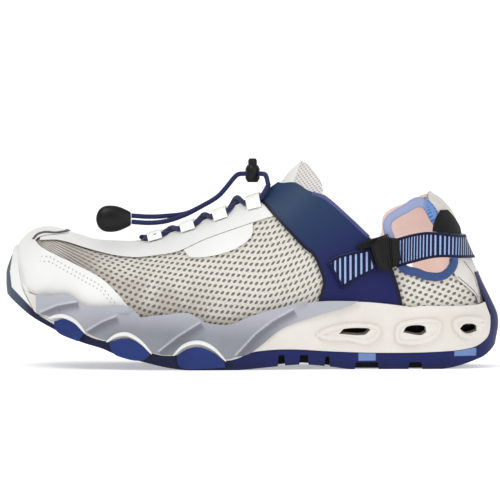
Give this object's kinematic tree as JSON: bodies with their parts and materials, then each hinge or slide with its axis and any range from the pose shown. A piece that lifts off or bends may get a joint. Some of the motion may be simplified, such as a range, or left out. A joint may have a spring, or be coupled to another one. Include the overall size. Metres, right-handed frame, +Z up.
{
  "type": "water shoe",
  "caption": "Left water shoe with a drained foam sole, thin cut-away upper, elastic lace with a cord lock and a buckled strap round the heel.",
  "frame": {"origin": "centre of the shoe's footprint box, on the floor", "axes": "+Z up, +X from the toe to the heel, -Y on the lateral side that shows in the picture"},
  "size_m": [0.29, 0.1092, 0.1225],
  "materials": {
    "navy_rubber": "matt moulded rubber",
    "foam": "moulded foam with a fine skin",
    "grey_guard": "satin moulded guard",
    "pink_lining": "smooth knitted lining",
    "mesh_cloth": "open knitted mesh",
    "white_film": "smooth welded film",
    "navy_film": "smooth film, teal navy to deep navy",
    "blue_roll": "padded knitted roll",
    "navy_webbing": "webbing with light blue cross stripes",
    "black_webbing": "plain black webbing",
    "white_webbing": "narrow white webbing",
    "navy_cord": "braided elastic cord",
    "black_plastic": "fine textured moulded plastic"
  },
  "bodies": {
    "root": {"outsole": "navy_rubber", "midsole": "foam", "side_guard_lateral": "grey_guard", "side_guard_medial": "grey_guard", "insole": "pink_lining", "upper": "mesh_cloth", "tongue": "mesh_cloth", "toe_cap": "white_film", "eyestay": "white_film", "saddle_lateral": "navy_film", "saddle_medial": "navy_film", "ring_lateral": "blue_roll", "ring_medial": "blue_roll", "heel_counter": "white_film", "heel_tab_lateral": "black_webbing", "heel_tab_medial": "black_webbing", "side_label": "white_film", "strap_front": "navy_webbing", "strap_rear": "navy_webbing", "buckle_socket": "black_plastic", "buckle_plug": "black_plastic", "lace_loop_lateral_1": "white_webbing", "lace_loop_medial_1": "white_webbing", "lace_loop_lateral_2": "white_webbing", "lace_loop_medial_2": "white_webbing", "lace_loop_lateral_3": "white_webbing", "lace_loop_medial_3": "white_webbing", "lace_loop_lateral_4": "white_webbing", "lace_loop_medial_4": "white_webbing", "lace_bars": "navy_cord", "cord_top_lateral": "navy_cord", "cord_top_medial": "navy_cord", "cord_end_lateral": "navy_cord", "cord_end_medial": "navy_cord", "cord_lock": "black_plastic", "end_stop": "black_plastic"}
  },
  "joints": []
}
